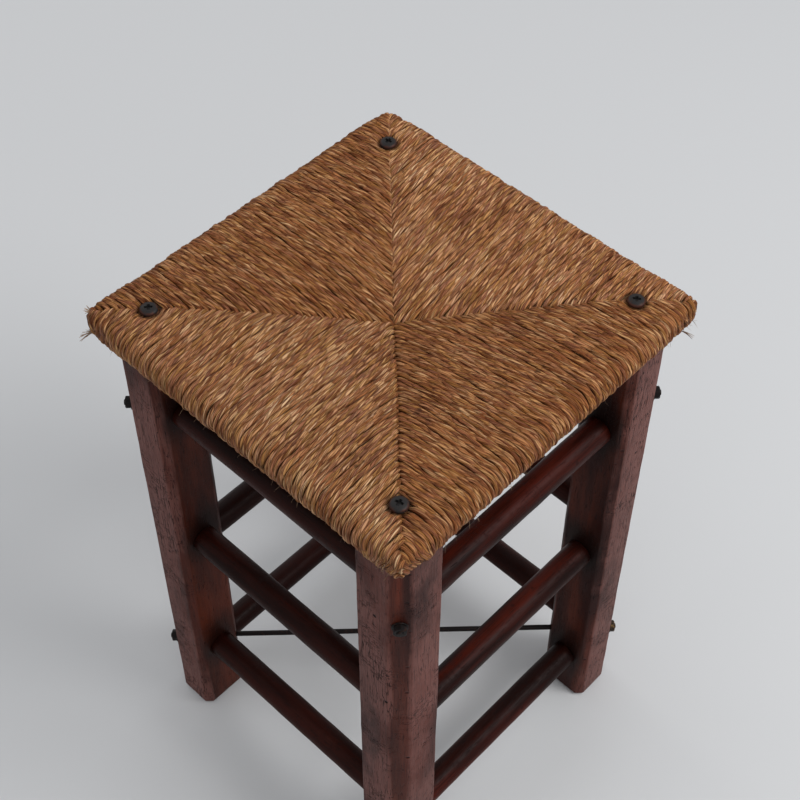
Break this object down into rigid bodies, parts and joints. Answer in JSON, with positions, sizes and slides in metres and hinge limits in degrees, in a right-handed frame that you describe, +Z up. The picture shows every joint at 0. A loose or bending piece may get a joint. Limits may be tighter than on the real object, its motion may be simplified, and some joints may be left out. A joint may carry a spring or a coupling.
{
  "type": "rush-seated stool",
  "caption": "Tall square stool with a dished woven rush seat screwed to stout chamfered legs, turned rungs in staggered tiers and crossed iron tie rods.",
  "frame": {"origin": "on the floor under the middle of the seat", "axes": "+Z up, +X to the stool's right and -Y to its front; the leg in the middle of the picture is front left"},
  "size_m": [0.341, 0.341, 0.556],
  "materials": {
    "leg_wood": "dark red-brown stain and worn varnish, greyed on the outer faces",
    "rung_wood": "very dark brown varnish, semi-gloss",
    "bare_wood": "sawn, unfinished",
    "black_iron": "blackened, dull sheen",
    "rusted_iron": "black worn to brown, lightly rusted",
    "rush": "dry twisted rush cord, matt with a slight sheen",
    "straw": "loose straw packing, matt"
  },
  "bodies": {
    "root": {"leg_front_left": "leg_wood", "leg_front_right": "leg_wood", "leg_back_right": "leg_wood", "leg_back_left": "leg_wood", "rung_front_lower": "rung_wood", "rung_front_middle": "rung_wood", "rung_front_upper": "rung_wood", "rung_back_lower": "rung_wood", "rung_back_middle": "rung_wood", "rung_back_upper": "rung_wood", "rung_left_lower": "rung_wood", "rung_left_middle": "rung_wood", "rung_left_upper": "rung_wood", "rung_right_lower": "rung_wood", "rung_right_middle": "rung_wood", "rung_right_upper": "rung_wood", "tie_rod_upper_back_left_to_front_right": "black_iron", "tie_rod_upper_front_left_to_back_right": "black_iron", "tie_rod_lower_back_left_to_front_right": "black_iron", "tie_rod_lower_front_left_to_back_right": "black_iron", "washer_upper_front_left": "black_iron", "washer_upper_front_right": "black_iron", "washer_upper_back_right": "black_iron", "washer_upper_back_left": "black_iron", "washer_lower_front_left": "black_iron", "washer_lower_front_right": "black_iron", "washer_lower_back_right": "black_iron", "washer_lower_back_left": "black_iron", "nut_upper_front_left": "black_iron", "nut_upper_front_right": "black_iron", "nut_upper_back_right": "black_iron", "nut_upper_back_left": "black_iron", "nut_lower_front_left": "black_iron", "nut_lower_front_right": "rusted_iron", "nut_lower_back_right": "black_iron", "nut_lower_back_left": "black_iron", "rush_seat": "rush", "seat_rail_front": "bare_wood", "seat_rail_right": "bare_wood", "seat_rail_back": "bare_wood", "seat_rail_left": "bare_wood", "stuffing_front": "straw", "stuffing_right": "straw", "stuffing_back": "straw", "stuffing_left": "straw", "seat_screw_front_left": "black_iron", "seat_screw_front_right": "black_iron", "seat_screw_back_right": "black_iron", "seat_screw_back_left": "black_iron"}
  },
  "joints": []
}
